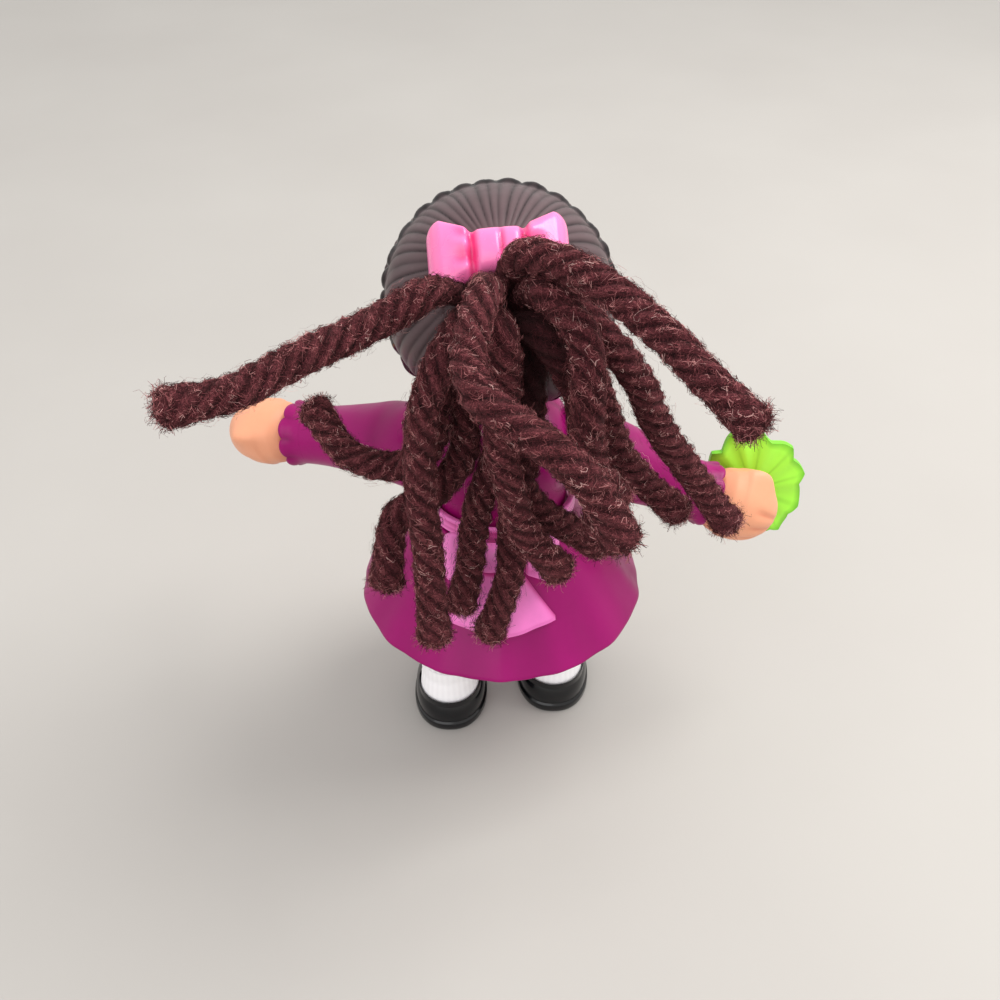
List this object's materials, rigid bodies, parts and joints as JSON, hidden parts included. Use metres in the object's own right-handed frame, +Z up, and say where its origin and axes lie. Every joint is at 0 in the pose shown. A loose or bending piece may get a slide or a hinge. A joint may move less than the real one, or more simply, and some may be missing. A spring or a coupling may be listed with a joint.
{
  "type": "doll figure",
  "caption": "Small moulded doll figure in a flared dress with a bow, a leaf held in one hand and a ponytail of thick yarn; the head and arms turn on pegs.",
  "frame": {"origin": "on the floor, under the middle of the doll's box without its yarn", "axes": "+Z up, -Y the way the doll faces, +X the doll's left"},
  "size_m": [0.0834, 0.0636, 0.0882],
  "materials": {
    "skin": "satin vinyl",
    "dress": "satin moulded plastic",
    "sash": "satin moulded plastic",
    "bow": "glossy moulded plastic",
    "hair": "satin moulded plastic with a glossy rim",
    "yarn": "fuzzy twisted yarn",
    "sock": "satin moulded plastic",
    "shoe": "glossy moulded plastic",
    "leaf": "satin moulded plastic",
    "inner": "plain moulded plastic"
  },
  "bodies": {
    "torso": {"left_shoe": "shoe", "right_shoe": "shoe", "left_sock": "sock", "right_sock": "sock", "left_leg": "skin", "right_leg": "skin", "skirt": "dress", "hip_core": "inner", "bodice_front": "dress", "bodice_back": "dress", "waist_sash": "sash", "sash_bow": "sash", "left_sash_tail": "sash", "right_sash_tail": "sash", "neck_post": "skin"},
    "head": {"face_shell": "skin", "hair_cap": "hair", "hair_fringe": "hair", "yarn_plug": "hair", "hair_bow": "bow", "yarn_strand_01": "yarn", "yarn_strand_02": "yarn", "yarn_strand_03": "yarn", "yarn_strand_04": "yarn", "yarn_strand_05": "yarn", "yarn_strand_06": "yarn", "yarn_strand_07": "yarn", "yarn_strand_08": "yarn", "yarn_strand_09": "yarn", "yarn_strand_10": "yarn", "yarn_strand_11": "yarn", "yarn_strand_12": "yarn", "yarn_strand_13": "yarn", "yarn_strand_14": "yarn"},
    "left_arm": {"left_sleeve": "dress", "left_cuff": "dress", "left_hand": "skin", "left_shoulder_peg": "inner"},
    "right_arm": {"right_sleeve": "dress", "right_cuff": "dress", "right_hand": "skin", "right_shoulder_peg": "inner", "leaf_sprig": "leaf"}
  },
  "joints": [
    {"name": "head_turn", "type": "hinge", "parent": "torso", "child": "head", "pos_m": [0.00199, 0, 0.05615], "axis": [0, 0, 1], "range_deg": [-45, 45], "deforming": ["yarn_strand_01", "yarn_strand_02", "yarn_strand_03", "yarn_strand_04", "yarn_strand_05", "yarn_strand_06", "yarn_strand_07", "yarn_strand_08", "yarn_strand_09", "yarn_strand_10", "yarn_strand_11", "yarn_strand_12", "yarn_strand_13", "yarn_strand_14"]},
    {"name": "left_shoulder", "type": "hinge", "parent": "torso", "child": "left_arm", "pos_m": [0.01149, 0, 0.0487], "axis": [-1, 0, 0], "range_deg": [-85, 120]},
    {"name": "right_shoulder", "type": "hinge", "parent": "torso", "child": "right_arm", "pos_m": [-0.00751, 0, 0.0487], "axis": [-1, 0, 0], "range_deg": [-22, 183]}
  ]
}
